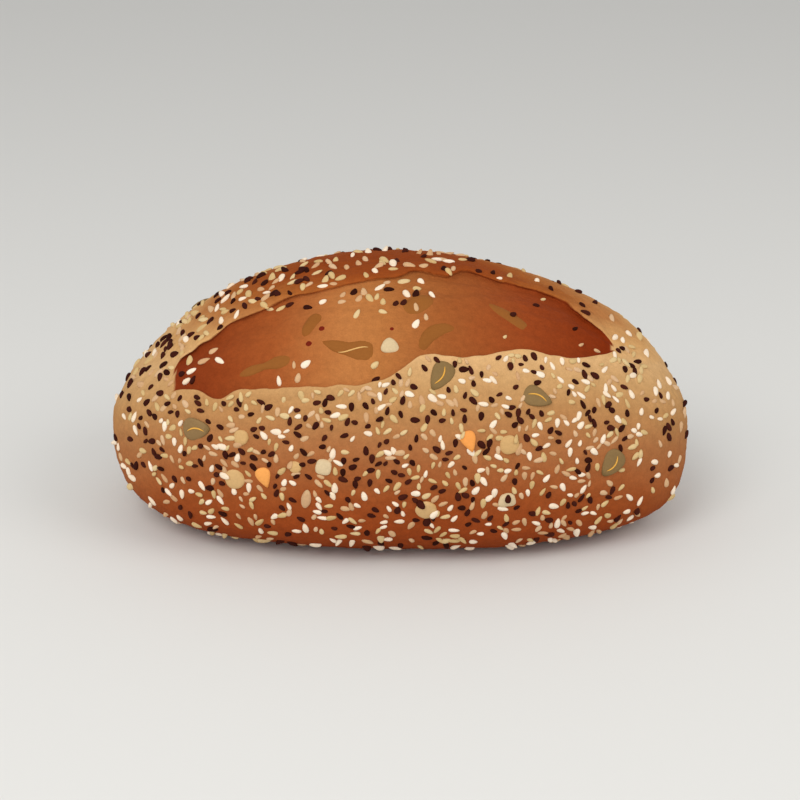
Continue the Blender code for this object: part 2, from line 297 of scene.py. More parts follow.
def profileLayout():
    # which steps of the cut's profile the rows take, and how bare of crust each is
    width = cut["layoutWidth"]
    lip = list(cut["lowerLip"])
    bloom = [(width * share, height) for share, height in cut["bloom"]]
    ear = [(width + up, height) for up, height in cut["ear"]]
    points = np.array(lip + bloom + ear, float)
    lipEnd, earStart = len(lip) - 1, len(lip) + len(bloom)
    onLip = evenSteps(points[:lipEnd + 1], crustGrid["lowerLipRows"] + 1)[:-1]
    inCut = lipEnd + evenSteps(points[lipEnd:earStart + 1], crustGrid["bloomRows"] + 1)[:-1]
    onEar = earStart + evenSteps(points[earStart:], crustGrid["earRows"])
    steps = np.concatenate([onLip, inCut, onEar])
    bareFrom = smoothStep(*(lipEnd + step for step in cut["bareOnLip"]), steps)
    bareTo = 1 - smoothStep(*(earStart + step for step in cut["bareOnEar"]), steps)
    return steps, bareFrom * bareTo


profileSteps, profileBare = profileLayout()


def makeCrust():
    deselectAll()
    rowCount = sum(count for name, count in crustGrid.items() if name.endswith("Rows"))
    bpy.ops.mesh.primitive_uv_sphere_add(segments=rowCount, ring_count=crustGrid["stations"], radius=1)
    crust = bpy.context.active_object
    crust.name = "BakedCrust"
    unit, _ = meshArrays(crust)
    along = np.clip(unit[:, 2], -1, 1)
    stations = np.round(np.arccos(along) / math.pi * crustGrid["stations"]).astype(int)
    rows = np.round(np.arctan2(unit[:, 1], unit[:, 0]) / (2 * math.pi) % 1 * rowCount).astype(int) % rowCount
    angle, height, bare = np.zeros((3, len(unit)))
    x = loaf["length"] / 2 * along
    for station in range(1, crustGrid["stations"]):
        here = stations == station
        for values, section in zip((angle, height, bare), sectionRows(float(x[here][0]))):
            values[here] = section[rows[here]]
    plain = onPlainCrust(x, angle)
    points = plain + outward(plain) * (swell(plain) + height + fineRelief(plain, x, angle, bare))[:, None]
    points[:, 2] = flatBase(points[:, 2])
    crust.data.vertices.foreach_set("co", (points * mm).ravel())
    pointAttribute(crust, "bareness", bare)
    pointAttribute(crust, "bakeHeight", bakeHeight(points))
    crust.data.update()
    pick(crust)
    bpy.ops.object.mode_set(mode="EDIT")
    bpy.ops.mesh.select_all(action="SELECT")
    bpy.ops.mesh.normals_make_consistent(inside=False)
    bpy.ops.object.mode_set(mode="OBJECT")
    bpy.ops.object.shade_smooth()
    return crust


def fineRelief(points, x, angle, bare):
    # blisters and puckers of the crust, and in the cut the low steps of its tearing
    blister = noiseAt(points, relief["blisterLength"], relief["blisterDetail"])
    blister = np.maximum(blister, relief["blisterFloor"]) * relief["blister"]
    pucker = noiseAt(points + relief["puckerPattern"], relief["puckerLength"]) * relief["pucker"]
    lower = np.radians(smoothCurve(cut["lowerEdge"], x))
    upAcross = (angle - lower) * plainRadius(x, angle)
    drift = relief["drift"] * noiseAt(points + relief["driftPattern"], relief["driftLength"])
    stretched = np.stack([x / relief["terraceRun"], (upAcross + drift) / relief["terraceLength"], 0 * x], 1)
    terrace = noiseAt(stretched, 1.0) * relief["terrace"] * bare
    return (blister * (1 - relief["blisterGone"] * bare) + pucker * (1 - relief["puckerGone"] * bare)
            + terrace)


def flatBase(z):
    return (z + np.sqrt(z * z + relief["baseRound"] ** 2)) / 2


def bakeHeight(points):
    # how far up the crust's colours go: 0 at the foot and 1 at the crest, less further out
    outFromMiddle = np.sqrt(points[:, 1] ** 2 + crustFinish["crestRound"] ** 2)
    level = (points[:, 2] - photo["aim"][2]) * math.cos(cameraRise) - outFromMiddle * math.sin(cameraRise)
    paler = crustFinish["palerEnds"] * smoothStep(*crustFinish["endsFrom"], np.abs(points[:, 0]))
    return (level + crustFinish["bakeSpan"] / 2) / crustFinish["bakeSpan"] + paler


# small seeds: each kind is modelled once and then set all over the crust
seedKinds = {
    # length, width, thickness, how much it narrows to its tip, and how deep its middle lies
    "DarkLinseed": {"size": (3.4, 2.05, 1.4), "taper": 0.22, "sink": -0.08, "share": 0.345},
    "WhiteSesame": {"size": (3.9, 2.02, 1.2), "taper": 0.3, "sink": -0.06, "share": 0.185},
    "TanSesame": {"size": (3.9, 1.98, 1.2), "taper": 0.3, "sink": -0.04, "share": 0.23},
    "GlazedSesame": {"size": (3.9, 1.95, 1.15), "taper": 0.3, "sink": 0.08, "share": 0.23},
    "RedMillet": {"size": (2.6, 2.6, 1.2), "taper": 0.05, "sink": 0.2, "share": 0, "round": True},
}

scatter = {
    "count": 2560, "tries": 6,  # how many seeds, and places drawn for each
    "spacing": 2.35,  # least distance between the middles of two
    "floorMargin": 3.0, "largeMargin": 0.5, "cutMargin": 1.3,  # and from these
    "mostBare": 0.02, "cutBare": 0.5,  # how bare the crust may be under them, and how bare the cut is
    "leastFacing": 0.8,  # cosine of how far the crust may turn from the way out of the loaf
    "lengths": (0.71, 1.23), "widths": (0.8, 1.22), "thicknesses": (0.85, 1.1), "widthPower": 0.6,
    "tilt": 12, "tiltSpread": 0.45,
    # cosines of the crust's turn from the camera: where few lie and where all do
    "seenInFront": (0.2, 0.95), "seenBehind": (-0.08, 0.28),
    "edgeOn": 0.16, "edgeSpread": 0.65,  # how many lie where it is seen edge on, and how much further apart
    "edgeLarger": 0.28, "edgeLean": 0.7, "edgeLift": 0.25,  # how much larger they are, and how they stand up
    "edgeFrom": (0.25, 0.9), "edgeTo": (-0.05, 0.22),
    # height, and how many lie there
    "upTheSide": ((0, 0.82), (12, 0.74), (22, 0.54), (34, 0.72), (44, 0.95), (54, 1), (98, 1), (110, 0.7)),
    "darkAtFoot": 0.62, "foot": (8, 42),  # how many dark ones lie low down, with more white ones instead
    # how many lie in front of the left and the right end
    "atEnds": (0.62, 0.42), "endsFrom": (86, 108), "frontFrom": (-0.3, 0),
    # and along the right of the crest
    "onCrestRight": 0.18, "crestPlaces": ((20, 36), (84, 100)), "crestAngles": ((56, 70), (104, 118)),
    "placedLarger": 1.1, "placedLean": 0.45,  # the ones set by their pixels
}

# seeds by the photograph's pixels: column, row and turn, and how large where it isn't placedLarger
cutSeeds = {
    "WhiteSesame": ((220, 361, -35), (192, 371, 20), (187, 381, 30), (323, 302, 30), (380, 288, 40),
                    (306, 364, 35), (279, 381, 100), (421, 282, -50), (407, 295, -60), (432, 296, -55),
                    (416, 324, 60)),
    "TanSesame": ((190, 361, 90), (270, 309, -25), (281, 309, 35), (370, 299, -60), (377, 297, 75),
                  (383, 302, 90), (357, 314, 65), (383, 312, -20), (375, 365, 45), (404, 282, 15),
                  (417, 289, 0), (543, 300, 25, 0.75), (505, 337, 50, 0.75)),
    "GlazedSesame": ((214, 351, 20), (204, 361, 15), (343, 295, 60), (342, 302, 10), (359, 299, 65),
                     (364, 293, 100), (294, 365, 95), (298, 378, 80), (387, 283, 30), (416, 307, 100),
                     (426, 317, 100), (581, 345, 35, 0.8), (597, 351, -15)),
    "DarkLinseed": ((182, 374, 10), (193, 380, 60), (308, 308, -15, 0.95), (290, 305, 25), (354, 293, 70),
                    (389, 290, 0), (396, 304, 70), (416, 295, 80), (404, 303, 60), (513, 315, 30, 0.85),
                    (536, 306, 0, 0.8), (575, 329, 35, 0.8), (376, 380, 35)),
    "RedMillet": ((322, 329, 0), (309, 344, 0), (392, 329, 0, 0.7)),
}
onLargeSeeds = {
    "DarkLinseed": ((508, 499, 90, 1.0), (421, 505, -45), (427, 521, 80)),
    "WhiteSesame": ((434, 514, 40), (225, 476, -20)),
    "TanSesame": ((463, 435, 65), (516, 439, 80)),
    "GlazedSesame": ((234, 430, 10), (238, 445, 25), (296, 474, 15), (290, 465, 60), (519, 449, 70)),
}


def taperedBall(segments, rings, turn, taper, level):
    # a ball that narrows along x; a level one keeps its thickness
    deselectAll()
    bpy.ops.mesh.primitive_uv_sphere_add(
        segments=segments, ring_count=rings, radius=0.5, rotation=(0, turn, 0))
    ball = bpy.context.active_object
    bpy.ops.object.transform_apply(location=False, rotation=True, scale=False)
    narrowing = ball.modifiers.new("Taper", "SIMPLE_DEFORM")
    narrowing.deform_method = "TAPER"
    narrowing.deform_axis = "X"
    narrowing.lock_z = level
    narrowing.factor = -taper * 2
    bpy.ops.object.modifier_apply(modifier="Taper")
    return ball


def modelSeed(kind):
    # a flattened egg, narrower at its tip
    form = seedKinds[kind]
    seed = taperedBall(segments=8, rings=6, turn=math.pi / 2, taper=form["taper"], level=False)
    points, faces = meshArrays(seed)
    points *= np.array(form["size"]) / np.ptp(points, axis=0)
    bpy.data.objects.remove(seed)
    return points, faces


def lieOn(normal, spin, tilt=(0.0, 0.0)):
    # the three axes of a thing that lies flat on the crust
    up = Vector(normal)
    along = (Vector((1, 0, 0)) - up * up.x).normalized()
    axes = Matrix((along, up.cross(along), up)).transposed()
    for degrees, axis in ((spin, "Z"), (tilt[0], "X"), (tilt[1], "Y")):
        axes = axes @ Matrix.Rotation(math.radians(degrees), 3, axis)
    return np.array(axes)


def joinedCopies(name, copies, material):
    # one mesh of many copies, each a shape and its place: point, axes, scale and tone
    allPoints, allFaces, tones, alongs, start = [], [], [], [], 0
    for (points, faces), (point, axes, scale, tone) in copies:
        allPoints.append((points * scale) @ axes.T + np.array(point))
        allFaces.extend([tuple(v + start for v in face) for face in faces])
        tones.extend([tone] * len(points))
        alongs.extend(points[:, 0] / np.ptp(points[:, 0]) + 0.5)
        start += len(points)
    data = bpy.data.meshes.new(name)
    data.from_pydata((np.concatenate(allPoints) * mm).tolist(), [], allFaces)
    data.validate()
    piece = bpy.data.objects.new(name, data)
    bpy.context.scene.collection.objects.link(piece)
    pointAttribute(piece, "seedTone", tones)
    pointAttribute(piece, "seedAlong", alongs)
    pick(piece)
    bpy.ops.object.shade_smooth()
    piece.data.materials.append(material)
    return piece


# large seeds: those on the front by their places, and the back's by the solid's own rule
largeSeeds = {
    # size is length, width and thickness, and flat how level the top is: 1 is round and less is flatter
    # a place is x, angle and turn, then how much longer and wider
    # a form is how much the seed narrows, how far round it bends, how deep its waist is, and how square it is
    # tones say how light the first of them are, from 0 to 1; the others' are left to chance
    "PumpkinSeeds": {
        "size": (12.1, 8.9, 2.5), "sink": 0.03, "flat": 0.7, "rough": 0.012,
        "places": ((-80.6, 17.2, 6, 1.0, 1.04), (16.5, 34.8, 240, 1.08, 1.0), (54.6, 28.6, -20, 1.03, 0.95),
                   (85.6, 2.4, 230, 1.0, 1.13)),
        "forms": ((0.46, 0.1, 0, 2.1), (0.5, -0.12, 0, 2.15), (0.5, 0.12, 0, 2.1), (0.46, -0.12, 0, 2.15)),
        "tones": (0.9, 0, 0.3, 0.3),
        # its line: where it starts and ends along the seed, how far it bows aside and how far it leans
        "ridge": (-0.31, 0.31, 0.08, 0.0),
    },
    "BakedPumpkinSeeds": {
        "size": (12.0, 6.0, 2.0), "sink": 0.2, "flat": 0.8, "rough": 0.02,
        "places": ((-20.4, 44.2, 168, 1.85, 1.4), (-53.4, 39.9, 193, 1.9, 1.0), (43.8, 60.8, 146, 1.6, 1.0),
                   (7.8, 61.2, 33, 1.2, 1.5), (-35.2, 54.0, 240, 1.05, 0.95), (13.6, 50.4, 38, 1.6, 0.95)),
        "forms": ((0.66, -0.5, 0.2, 2.7), (0.3, 0.2, 0.5, 2.3), (0.34, 0.1, 0.1, 2.8), (0.12, 0.2, 0, 2.3),
                  (0.3, 0.3, 0, 2.7), (0.1, -1.8, -0.15, 2.6)),
        "drape": True,  # they follow the crust that they are baked into
    },
    "OrangeKernels": {
        "size": (8.8, 6.3, 2.7), "sink": 0.04, "flat": 0.85, "rough": 0.012,
        "places": ((-53.4, 1.0, -73, 1.0, 1.0), (27.6, 14.3, -70, 1.0, 1.0)),
        "forms": ((0.66, 0.1, 0, 2.0), (0.66, -0.1, 0, 2.0)),
        "tones": (0.5, 0),
    },
    "CreamKernels": {
        "size": (8.2, 6.0, 2.5), "sink": 0.06, "flat": 0.75, "rough": 0.02,
        "places": ((-3.5, 45.2, 92, 0.8, 1.2), (-29.6, 5.9, 80, 0.8, 1.05), (43.1, -6.0, 90, 0.76, 1.2),
                   (-36.7, -5.4, 80, 0.98, 0.68)),
        "forms": ((0.42, 0, 0, 2.35), (0.06, 0, 0, 3.0), (0.32, 0, 0, 3.6), (0.06, 0.15, 0, 1.8)),
        "tones": (0.5, 0.9, 0.9, 0.0),
    },
    "TanGrits": {
        "size": (8.0, 7.8, 2.5), "sink": 0.08, "flat": 0.8, "rough": 0.035,
        "places": ((-62.4, 14.8, 0, 0.8, 0.8), (-65.2, -0.6, 30, 1.08, 1.08), (-40.8, 5.5, 0, 0.65, 0.65),
                   (43.5, 13.0, 0, 1.0, 1.0), (10.9, -9.0, 40, 1.08, 1.06)),
        "forms": ((0.05, 0, 0, 2.2), (0.05, 0, 0, 2.2), (0, 0, 0, 2.1), (0.1, 0, 0, 2.1), (0.05, 0, 0, 2.2)),
        # these tones even out the light as painted light: the last grit, low down in the shade, is painted
        # lightest, and the better lit first and fourth are painted darker
        "tones": (0.2, 0.8, 0.5, 0.2, 1),
    },
}

backSeeds = {
    "kinds": ("PumpkinSeeds", "OrangeKernels", "TanGrits", "CreamKernels", "PumpkinSeeds", "TanGrits",
              "CreamKernels"),
    "count": 20,
    "reach": 0.4, "angles": (122, 200), "round": 1.1,  # mm round the back for each degree
    "tries": 6, "randomSeed": 3,
    "longer": (0.9, 1.08), "wider": (0.9, 1.05),
}

# the line down the middle of a pumpkin seed
ridge = {"radius": 0.3, "proud": 0.06, "points": 11, "bowBack": 1.8, "thinEnds": 0.7}
bakedRidge = (-0.36, 0.14, 0.0, 0.24)  # the line on the largest of the seeds in the cut


def modelLargeSeed(form, variant, size, taper, bend, waist, square):
    # a flat drop, a little uneven, which may be bent, narrower at its middle or squarer
    waistSpread = 0.16
    seed = taperedBall(segments=28, rings=14, turn=0, taper=taper, level=True)
    bpy.ops.object.mode_set(mode="EDIT")
    bpy.ops.mesh.select_all(action="SELECT")
    bpy.ops.transform.vertex_random(offset=form["rough"], uniform=0.3, normal=0.7, seed=variant + 1)
    bpy.ops.mesh.vertices_smooth(factor=0.5, repeat=2)
    bpy.ops.object.mode_set(mode="OBJECT")
    points, faces = meshArrays(seed)
    bpy.data.objects.remove(seed)
    points /= np.ptp(points, axis=0)
    reach = np.maximum(np.hypot(points[:, 0], points[:, 1]), 1e-6)
    corner = ((np.abs(points[:, :2]) / reach[:, None]) ** square).sum(1) ** (-1 / square)
    points[:, :2] *= corner[:, None]
    points[:, 1] *= 1 - waist * np.exp(-(points[:, 0] / waistSpread) ** 2)
    points[:, 2] = np.sign(points[:, 2]) * (np.abs(points[:, 2]) * 2) ** form["flat"] / 2
    points *= size
    if bend:
        radius = size[0] / bend
        turn, side = points[:, 0] / radius, radius - points[:, 1]
        points[:, 0] = side * np.sin(turn)
        points[:, 1] = radius - side * np.cos(turn)
    return points, faces


def modelRidge(line, shape):
    # the raised line down the middle of a pumpkin seed, laid on the seed's own top
    length, width, thickness = np.ptp(shape[0], axis=0)
    share = np.linspace(-1, 1, ridge["points"])
    low, high, bow, lean = line
    top = BVHTree.FromPolygons(shape[0].tolist(), shape[1])
    curve = bpy.data.curves.new("Ridge", "CURVE")
    curve.dimensions = "3D"
    curve.bevel_depth = ridge["radius"]
    curve.bevel_resolution = 2
    curve.use_fill_caps = True
    spline = curve.splines.new("POLY")
    spline.points.add(ridge["points"] - 1)
    for point, end in zip(spline.points, share):
        x = length * (low + (high - low) * (end + 1) / 2)
        y = width * (bow * (1 - end ** 2 * ridge["bowBack"]) + lean * end * (1.5 - end ** 2 / 2))
        there, _, _, _ = top.ray_cast(Vector((x, y, thickness)), Vector((0, 0, -1)))
        point.co = (x, y, there.z + ridge["proud"], 1)
        point.radius = 1 - ridge["thinEnds"] * end ** 4
    raised = bpy.data.objects.new("Ridge", curve)
    bpy.context.scene.collection.objects.link(raised)
    pick(raised)
    bpy.ops.object.convert(target="MESH")
    points, faces = meshArrays(raised)
    bpy.data.objects.remove(raised)
    return points, faces


def seat(tree, x, degrees):
    # the point of the crust at a place, and the way out of it there
    angle = math.radians(degrees)
    away = Vector((0, -math.cos(angle), math.sin(angle)))
    start = Vector((x, 0, loaf["bellyHeight"])) + away * loaf["width"]
    point, normal, _, _ = tree.ray_cast(start, -away)
    return point, normal


def backRoom(place, placed):
    # how far a place on the back is from the nearest of those that are taken
    return min((math.hypot(place[0] - x, (place[1] - degrees) * backSeeds["round"]) for x, degrees in placed),
               default=0)


def backPlaces():
    # each lies where most room is left, of a few places drawn as the solid draws them
    draw = Random(backSeeds["randomSeed"])
    reach = backSeeds["reach"] * loaf["length"]
    placed = []
    for i in range(backSeeds["count"]):
        tries = [(draw.uniform(-reach, reach), draw.uniform(*backSeeds["angles"]))
                 for _ in range(backSeeds["tries"])]
        x, degrees = max(tries, key=lambda place: backRoom(place, placed))
        placed.append((x, degrees))
        turn = draw.uniform(0, 360)
        kind = backSeeds["kinds"][i % len(backSeeds["kinds"])]
        longer = random.uniform(*backSeeds["longer"])
        yield kind, (x, degrees, turn, longer, random.uniform(*backSeeds["wider"]))


def drape(points, tree, middle, axes):
    # lets a seed's points rise and fall with the crust below them
    reach = 8
    out = Vector(axes[:, 2])
    for point in points:
        above = middle + Vector(axes[:, 0] * point[0] + axes[:, 1] * point[1]) + out * reach
        _, _, _, distance = tree.ray_cast(above, -out, 2 * reach)
        point[2] += reach - distance if distance else 0


def placeLargeSeeds(tree):
    # every large seed by its kind, as its shape and its place: point, axes, scale and tone
    copies = {}
    back = list(backPlaces())
    for kind, form in largeSeeds.items():
        wanted = list(form["places"]) + [place for name, place in back if name == kind]
        tones = list(form.get("tones", ())) + list(random.uniform(0, 1, len(wanted)))
        copies[kind] = []
        for i, (x, degrees, spin, longer, wider) in enumerate(wanted):
            point, normal = seat(tree, x, degrees)
            size = np.array(form["size"]) * (longer, wider, 1)
            shape = modelLargeSeed(form, i, size, *form["forms"][i % len(form["forms"])])
            axes = lieOn(normal, spin)
            if form.get("drape"):
                drape(shape[0], tree, point, axes)
            point = point - normal * form["size"][2] * form["sink"]
            copies[kind].append((shape, (point, axes, np.ones(3), tones[i])))
    return copies


def ridgeCopies(copies):
    # a line on every pumpkin seed, and a paler one on the largest of those half buried in the cut
    ridges = []
    line = largeSeeds["PumpkinSeeds"]["ridge"]
    for shape, (point, axes, scale, tone) in copies["PumpkinSeeds"]:
        ridges.append((modelRidge(line, shape), (point, axes, scale, tone / 2)))
    shape, (point, axes, scale, _) = copies["BakedPumpkinSeeds"][0]
    ridges.append((modelRidge(bakedRidge, shape), (point, axes, scale, 1.0)))
    return ridges


def inFixedOrder(points, faces):
    # a new sphere's faces come in another order each run, so they are put in order by place
    rank = np.empty(len(points), int)
    rank[np.lexsort(np.round(points / mm, 4).T)] = np.arange(len(points))
    rank = rank.tolist()
    turned = []
    for face in faces:
        first = min(range(len(face)), key=lambda corner: rank[face[corner]])
        turned.append((*face[first:], *face[:first]))
    return sorted(turned, key=lambda face: [rank[corner] for corner in face])


def crustFaces(crust):
    # corners, middle, area, way out and bareness of every face of the crust
    points, faces = meshArrays(crust)
    faces = inFixedOrder(points, faces)
    bare = np.zeros(len(points))
    crust.data.attributes["bareness"].data.foreach_get("value", bare)
    corners = np.array([face[:4] if len(face) == 4 else (*face, face[2]) for face in faces])
    quads = points[corners] / mm
    normal = np.cross(quads[:, 2] - quads[:, 0], quads[:, 3] - quads[:, 1])
    length = np.linalg.norm(normal, axis=1)
    normal /= np.maximum(length, 1e-9)[:, None]
    return quads, quads.mean(1), length / 2, normal, bare[corners].max(1)


def seedWeights(middle, area, normal, bare):
    # none in the cut or at the foot, and fewer where the photograph has fewer
    x, _, height = middle.T
    degrees = np.degrees(np.arctan2(height - loaf["bellyHeight"], -middle[:, 1]))
    facing = (normal * outward(middle)).sum(1)
    weight = area * (bare < scatter["mostBare"]) * (height > scatter["floorMargin"])
    weight = weight * (facing > scatter["leastFacing"])
    square = normal @ towardCamera
    seen = np.where(square > 0, smoothStep(*scatter["seenInFront"], square),
                    smoothStep(*scatter["seenBehind"], -square))
    weight = weight * (scatter["edgeOn"] + (1 - scatter["edgeOn"]) * seen)
    weight = weight * smoothCurve(scatter["upTheSide"], height)
    fewer = (1 - np.where(x < 0, *scatter["atEnds"])) * smoothStep(*scatter["frontFrom"], square)
    weight = weight * (1 - fewer * smoothStep(*scatter["endsFrom"], np.abs(x)))
    places, angles = scatter["crestPlaces"], scatter["crestAngles"]
    crestRight = (smoothStep(*places[0], x) * (1 - smoothStep(*places[1], x))
                  * smoothStep(*angles[0], degrees) * (1 - smoothStep(*angles[1], degrees)))
    return weight * (1 - (1 - scatter["onCrestRight"]) * crestRight)


def takeRoom(point, taken):
    # whether a seed has room there, which it then takes; along the camera's view it needs more
    cell = tuple((point // scatter["spacing"]).astype(int))
    near = [other for side in product((-1, 0, 1), repeat=3)
            for other in taken.get(tuple(np.add(cell, side)), ())]
    steps = point - np.array(near).reshape(-1, 3)
    depth = steps @ towardCamera
    if ((steps ** 2).sum(1) - scatter["edgeSpread"] * depth ** 2 < scatter["spacing"] ** 2).any():
        return False
    taken.setdefault(cell, []).append(point)
    return True


def drawKind(height):
    # a kind by chance, less often dark and more often white at the foot
    dark = scatter["darkAtFoot"] + (1 - scatter["darkAtFoot"]) * smoothStep(*scatter["foot"], height)
    kinds = list(seedKinds)
    shares = np.array([seedKinds[kind]["share"] for kind in kinds])
    shares[[kinds.index("DarkLinseed"), kinds.index("WhiteSesame")]] *= dark, 1 / dark
    return kinds[random.choice(len(kinds), p=shares / shares.sum())]


def scatterSeeds(crust, tree, largeCopies):
    # places drawn by chance over the crust, of which the free ones are taken
    quads, middle, area, normal, bare = crustFaces(crust)
    weight = seedWeights(middle, area, normal, bare)
    order = random.choice(len(weight), scatter["count"] * scatter["tries"], p=weight / weight.sum())
    mix = random.uniform(0, 1, (len(order), 2))
    inCut = quads[bare > scatter["cutBare"]]
    bareTree = BVHTree.FromPolygons(inCut.reshape(-1, 3).tolist(),
                                    [(i, i + 1, i + 2, i + 3) for i in range(0, 4 * len(inCut), 4)])
    large = [(np.array(point), np.mean(np.ptp(shape[0], axis=0)[:2]) / 2)
             for copies in largeCopies.values() for shape, (point, *_) in copies]
    taken = {}
    places = {kind: [] for kind in seedKinds}
    count = 0
    for face, (u, v) in zip(order, mix):
        a, b, c, d = quads[face]
        point = (a * (1 - u) + b * u) * (1 - v) + (d * (1 - u) + c * u) * v
        if any(np.linalg.norm(point - place) < reach + scatter["largeMargin"] for place, reach in large):
            continue
        if bareTree.find_nearest(Vector(point), scatter["cutMargin"])[0] is not None:
            continue
        if not takeRoom(point, taken):
            continue
        kind = drawKind(point[2])
        spin = random.uniform(0, 360)
        tilt = random.normal(0, scatter["tiltSpread"], 2)
        places[kind].append(seedPlace(tree, kind, Vector(point), spin, tilt))
        count += 1
        if count == scatter["count"]:
            break
    return places, count


def smoothNormal(tree, point, reach=2.2):
    # the way out of the crust over the few millimetres that a seed lies on
    found = tree.find_nearest_range(point, reach)
    total = Vector((0, 0, 0))
    for _, normal, _, _ in found:
        total += normal
    return total.normalized()


def seedPlace(tree, kind, point, spin, tilt, larger=1.0, lean=0.0):
    # a small seed's point, axes, scale and tone
    form = seedKinds[kind]
    normal = smoothNormal(tree, point)
    longer = random.uniform(*scatter["lengths"])
    wider = longer ** scatter["widthPower"] * random.uniform(*scatter["widths"])
    scale = np.array([longer, wider, random.uniform(*scatter["thicknesses"])])
    square = normal.dot(towardCamera)
    edge = float((1 - smoothStep(*scatter["edgeFrom"], square)) * smoothStep(*scatter["edgeTo"], square))
    scale[:2] *= larger * (1 + scatter["edgeLarger"] * edge)
    if form.get("round"):
        scale[:2] = larger
    centre = point - normal * (form["size"][2] * form["sink"] - scatter["edgeLift"] * edge)
    normal = (normal + towardCamera * (scatter["edgeLean"] * edge + lean)).normalized()
    return centre, lieOn(normal, spin, tilt * scatter["tilt"]), scale, random.uniform(0, 1)


def seedsByPixel(wanted, camera, tree, places):
    for kind, seeds in wanted.items():
        for column, row, spin, *larger in seeds:
            start, way = rayThrough(camera, column, row)
            point, _, _, _ = tree.ray_cast(start / mm, way)
            size = larger[0] if larger else scatter["placedLarger"]
            places[kind].append(seedPlace(tree, kind, point, spin, np.zeros(2), size, scatter["placedLean"]))


def treeOf(pieces):
    # the surface that a seed can lie on
    allPoints, allFaces, start = [], [], 0
    for piece in pieces:
        points, faces = meshArrays(piece)
        faces = inFixedOrder(points, faces)
        allPoints.append(points / mm)
        allFaces.extend([tuple(v + start for v in face) for face in faces])
        start += len(points)
    return BVHTree.FromPolygons(np.concatenate(allPoints).tolist(), allFaces)


def addNode(tree, kind, settings=(), inputs=(), stops=()):
    # a node with its settings, its inputs (a value or the socket that feeds it) and its ramp's stops
    node = tree.nodes.new("ShaderNode" + kind)
    for name, value in dict(settings).items():
        setattr(node, name, value)
    for name, value in dict(inputs).items():
        if isinstance(value, bpy.types.NodeSocket):
            tree.links.new(value, node.inputs[name])
        else:
            node.inputs[name].default_value = value
    for i, (place, color) in enumerate(stops):
        elements = node.color_ramp.elements
        stop = elements[i] if i < 2 else elements.new(place)
        stop.position = place
        stop.color = color
    return node


def newMaterial(name):
    material = bpy.data.materials.new(name)
    material.use_nodes = True
    tree = material.node_tree
    return material, tree, tree.nodes["Principled BSDF"]


crustFinish = {
    # up the side: share of the height, and the colour there
    "bake": ((0.00, "8E3E1A"), (0.10, "93431C"), (0.19, "934A22"), (0.28, "9C5B32"), (0.37, "A36A3F"),
             (0.47, "AE7E4E"), (0.56, "BD9260"), (0.63, "CCA270"), (0.69, "CA9A62"), (0.77, "AE7240"),
             (0.83, "9F5B28"), (0.89, "8F451A"), (1.00, "7C300C")),
    "bakeSpan": 127,  # millimetres from foot to crest as they are seen
    "crestRound": 8,  # how softly the colours meet along the crest
    "palerEnds": 0.03, "endsFrom": (80, 112),
    # along the cut: place along the loaf, and the colour there
    "bloom": ((-92, "782C0F"), (-72, "843A17"), (-50, "964D23"), (-21, "AE6E3B"), (-8, "AA6B38"),
              (17, "965428"), (50, "8C3F1A"), (84, "782908")),
    # size of each pattern in millimetres, and how strongly it shows
    "mottle": 11, "mottleAmount": 0.07,
    "grain": 0.55, "grainAmount": 0.08, "grainDepth": 0.15,
    "freckle": 2.4, "freckleAmount": 0.09,
    "strandLength": 3.4, "strand": 1.7, "strandAmount": 0.05, "strandDepth": 0.3,
    "blister": 1.6, "blisterDepth": 0.5,
    "patternRoughness": 0.6, "patternRange": (0.25, 0.75), "blisterStrength": 0.55, "grainStrength": 0.35,
    "roughness": 0.85, "bareRoughness": 0.75,
    "shine": 0.04,
}


